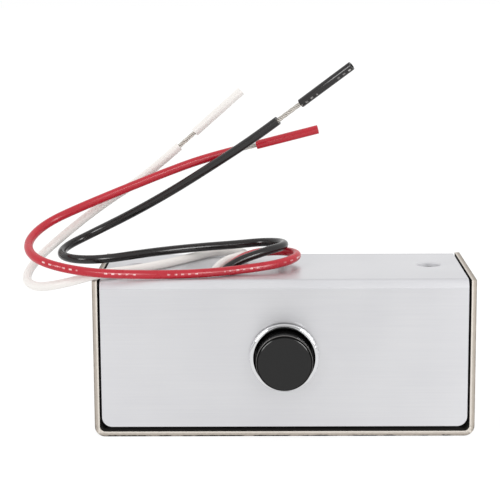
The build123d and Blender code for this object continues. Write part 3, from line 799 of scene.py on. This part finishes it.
# The insulation was cut inside a group of marks, this far from the group's start
CUT_IN_GROUP = 2.9 * MM
end, along = lead_end("black")
slug_finish = slugs["black"].data.materials[0]
tree = slug_finish.node_tree
coordinates = add(tree, "TexCoord").outputs
group_start = end + along * (BARE_LENGTH["black"] - CUT_IN_GROUP)
past = add(tree, "VectorMath", {"operation": "SUBTRACT", 1: group_start}, _0=coordinates["Object"])
past = add(tree, "VectorMath", {"operation": "DOT_PRODUCT", 1: along}, _0=past)
facing = add(tree, "VectorMath", {"operation": "DOT_PRODUCT", 1: ROW_FACING}, _0=coordinates["Normal"])
row = add(tree, "MapRange", {"From Min": EDGE_AGREES, "From Max": CORE_AGREES, "To Max": INK_STRENGTH},
          Value=facing.outputs["Value"])
ink(slug_finish, "#D9D7D4", past.outputs["Value"], row)

# %% [markdown]
# What is left is small or inside: plated fasteners, brass terminals, the spring, solder,
# nylon and moulded phenolic. A plain colour would look flat, so each has two close
# shades of its real colour, mixed by noise at the size of its own grain, and a roughness
# that follows the same noise.


# %% Finishes of the small and inner parts
RELIEF_DEPTH, ROUGHNESS_SPREAD = 0.02 * MM, 0.1
ZINC = ("#D2D2CE", "#B4B5B3", 0.5 * MM, 0.32, 1.0)


def grained(name, light, dark, grain, roughness, metallic):
    """A finish that varies between two shades over grains of the given size."""
    finish, tree, shader, coordinates = new_finish(name)
    grains = add(tree, "TexNoise", {"Scale": 1 / grain, "Detail": 4.0}, Vector=coordinates["Object"])
    tint = add(tree, "Mix", {"data_type": "RGBA", 6: linear(dark), 7: linear(light)}, _0=grains)
    shine = add(tree, "MapRange", {"To Min": roughness - ROUGHNESS_SPREAD,
                                   "To Max": roughness + ROUGHNESS_SPREAD}, Value=grains)
    relief = add(tree, "Bump", {"Strength": 0.08, "Distance": RELIEF_DEPTH}, Height=grains)
    shader.inputs["Metallic"].default_value = metallic
    tree.links.new(tint.outputs[2], shader.inputs["Base Color"])
    tree.links.new(shine.outputs[0], shader.inputs["Roughness"])
    tree.links.new(relief.outputs[0], shader.inputs["Normal"])
    return finish


tinned = [piece.name for piece in strands.values()]
joints = [name for name in nodes if name.startswith("solder_joint")]
terminals = [name for name in nodes if name.startswith("terminal_") and name != "terminal_base"]
# Dipped in tin: a pale, warm and uneven grey
wear(grained("tinned_copper", "#C4C0BA", "#ADA8A1", 0.3 * MM, 0.48, 1.0), *tinned)
# Plated in a barrel: a cool silver with a cloudy shine
wear(grained("bright_zinc_plate", *ZINC), "hex_nut", "lock_washer")
# Rolled and stamped: yellow, with a streaky shine
wear(grained("rolled_brass", "#D9B25F", "#C29A48", 0.8 * MM, 0.30, 1.0), "contact_disc", *terminals)
# Drawn hard: a plain grey with narrow highlights
wear(grained("spring_wire", "#B9B9B9", "#979797", 0.3 * MM, 0.28, 1.0), "return_spring_coil")
# Set as it flowed: silver, slightly frosted
wear(grained("cooled_solder", "#C9C9C9", "#A7A7A8", 0.6 * MM, 0.35, 1.0), *joints)
# Moulded and left uncoloured: a milky cream with little shine
wear(grained("natural_nylon", "#E4DFD0", "#D8D2C1", 0.7 * MM, 0.45, 0.0), "plunger")
# Pressed from powder: a brownish black with little shine
wear(grained("black_phenolic", "#26211E", "#191614", 0.5 * MM, 0.42, 0.0), "switch_body", "terminal_base")

# %% [markdown]
# The four screws are zinc plated too. The bottom of each cross recess is painted dark as
# shade, where the recess is in shadow: it is found as what faces along X but lies below the
# top of the head.

# %% Screws
BELOW_TOP, FLAT_FACING = 0.3 * MM, 0.9
screws = [name for name in nodes if name.startswith("cover_screw")]
head_top = max(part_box(name)[1].x for name in screws)
zinc = grained("zinc_plate_on_screws", *ZINC)
tree = zinc.node_tree
shader = tree.nodes["Principled BSDF"]
plate = shader.inputs["Base Color"].links[0].from_socket
coordinates = add(tree, "TexCoord").outputs
at = add(tree, "SeparateXYZ", None, Vector=coordinates["Object"]).outputs
facing = add(tree, "SeparateXYZ", None, Vector=coordinates["Normal"]).outputs
reach = add(tree, "Math", {"operation": "ABSOLUTE"}, _0=at["X"])
flat = add(tree, "Math", {"operation": "ABSOLUTE"}, _0=facing["X"])
below = add(tree, "Math", {"operation": "LESS_THAN", 1: head_top - BELOW_TOP}, _0=reach)
flat = add(tree, "Math", {"operation": "GREATER_THAN", 1: FLAT_FACING}, _0=flat)
recess = add(tree, "Math", {"operation": "MULTIPLY"}, _0=below, _1=flat)
# Painted shade in the bottom of the cross recess
painted_recess_shade = add(tree, "Mix", {"data_type": "RGBA", 7: linear("#3B3A38")}, _0=recess, _6=plate)
tree.links.new(painted_recess_shade.outputs[2], shader.inputs["Base Color"])
wear(zinc, *screws)

# %% [markdown]
# The box stands on white paper that runs out of sight. More light would make the paper
# white, but the steel would be washed out with it. So the paper takes the object's shadow as
# any paper does, and only what the camera and the reflections see of it is lifted to white.
# Its far part meets a white background with no line between them.

# %% Floor
FLOOR_SIZE = 6
FIBRE = 1.25 * MM
GLOW_SHARE, GLOW_STRENGTH = 0.77, 1.05
bpy.ops.object.select_all(action="DESELECT")
bpy.ops.mesh.primitive_plane_add(size=FLOOR_SIZE)
floor = bpy.context.object
floor.name = "floor"
paper, tree, shader, coordinates = new_finish("white_paper")
fibre = add(tree, "TexNoise", {"Scale": 1 / FIBRE, "Detail": 2.0}, Vector=coordinates["Object"])
tint = add(tree, "Mix", {"data_type": "RGBA", 6: linear("#EFEFEF"), 7: linear("#F5F5F5")}, _0=fibre)
tree.links.new(tint.outputs[2], shader.inputs["Base Color"])
shader.inputs["Roughness"].default_value = 0.9
ray = add(tree, "LightPath").outputs
seen = add(tree, "Math", {"operation": "MAXIMUM"}, _0=ray["Is Camera Ray"], _1=ray["Is Glossy Ray"])
seen = add(tree, "Math", {"operation": "MAXIMUM"}, _0=seen, _1=ray["Is Transmission Ray"])
share = add(tree, "Math", {"operation": "MULTIPLY", 1: GLOW_SHARE}, _0=seen)
glow = add(tree, "Emission", {"Color": (1, 1, 1, 1), "Strength": GLOW_STRENGTH})
mix = add(tree, "MixShader", None, _0=share, _1=shader, _2=glow)
tree.links.new(mix.outputs[0], tree.nodes["Material Output"].inputs["Surface"])
# The glow is only looked at and lights nothing, so no light samples go to it
paper.cycles.emission_sampling = "NONE"
wear(paper, "floor")

# %% [markdown]
# The light is a white tent, even from all sides. Lamps alone would leave shadows that
# the photograph does not have, so the world itself is the light. Reflections also find the
# dark room behind the camera, above the table, which gives the chrome its thin dark lines.

# %% World
TENT_LIGHT, TENT_MIRRORED, ROOM_MIRRORED, BACKGROUND = 1.35, 0.95, 0.4, 1.0
FADING = {"interpolation_type": "SMOOTHSTEP", "To Min": 1.0, "To Max": 0.0}
world = bpy.data.worlds.new("white_tent")
bpy.context.scene.world = world
world.use_nodes = True
tree = world.node_tree
ray = add(tree, "LightPath").outputs
heading = add(tree, "SeparateXYZ", None, Vector=add(tree, "TexCoord").outputs["Generated"]).outputs
in_front = add(tree, "MapRange", {**FADING, "From Min": -0.85, "From Max": -0.35}, Value=heading["Y"])
low = add(tree, "MapRange", {**FADING, "From Min": 0.45, "From Max": 0.75}, Value=heading["Z"])
room = add(tree, "Math", {"operation": "MULTIPLY"}, _0=in_front, _1=low)
mirrored = add(tree, "MapRange", {"To Min": TENT_MIRRORED, "To Max": ROOM_MIRRORED}, Value=room)
fill = add(tree, "Mix", {"data_type": "FLOAT", 2: TENT_LIGHT}, _0=ray["Is Glossy Ray"], _3=mirrored)
white = add(tree, "Mix", {"data_type": "FLOAT", 3: BACKGROUND}, _0=ray["Is Camera Ray"], _2=fill)
tree.nodes["Background"].inputs["Color"].default_value = (1, 1, 1, 1)
tree.links.new(white.outputs[0], tree.nodes["Background"].inputs["Strength"])
print("world:", len(tree.nodes), "nodes")


# %% [markdown]
# A softbox at each side, a little above the box, is there for reflections only: the two draw
# the short bright arcs on the button's bevel and the lines along the wires. Their long sides
# lean towards each other at the top.

# %% Softboxes
AIM = Vector((0, -22, 16)) * MM
SOFTBOX_WIDTH = 0.16


def softbox(name, place, length_along, power):
    """A lamp whose long side lies along a vector, seen in reflections only."""
    lamp = bpy.data.lights.new(name, "AREA")
    lamp.shape = "RECTANGLE"
    lamp.size, lamp.size_y = Vector(length_along).length, SOFTBOX_WIDTH
    lamp.energy = power
    box = bpy.data.objects.new(name, lamp)
    bpy.context.scene.collection.objects.link(box)
    behind = (Vector(place) - AIM).normalized()
    across = behind.cross(Vector(length_along)).normalized()
    along = across.cross(behind)
    facing = Matrix((along, across, behind)).transposed().to_4x4()
    box.matrix_world = Matrix.Translation(place) @ facing
    box.visible_diffuse = False
    print(name, "at", place, "power", power)


softbox("softbox_left", (-0.26, -0.42, 0.17), (0.13, -0.03, 0.13), 1.0)
softbox("softbox_right", (0.26, -0.42, 0.17), (-0.13, -0.03, 0.13), 1.2)
bpy.context.scene.view_settings.view_transform = "Standard"
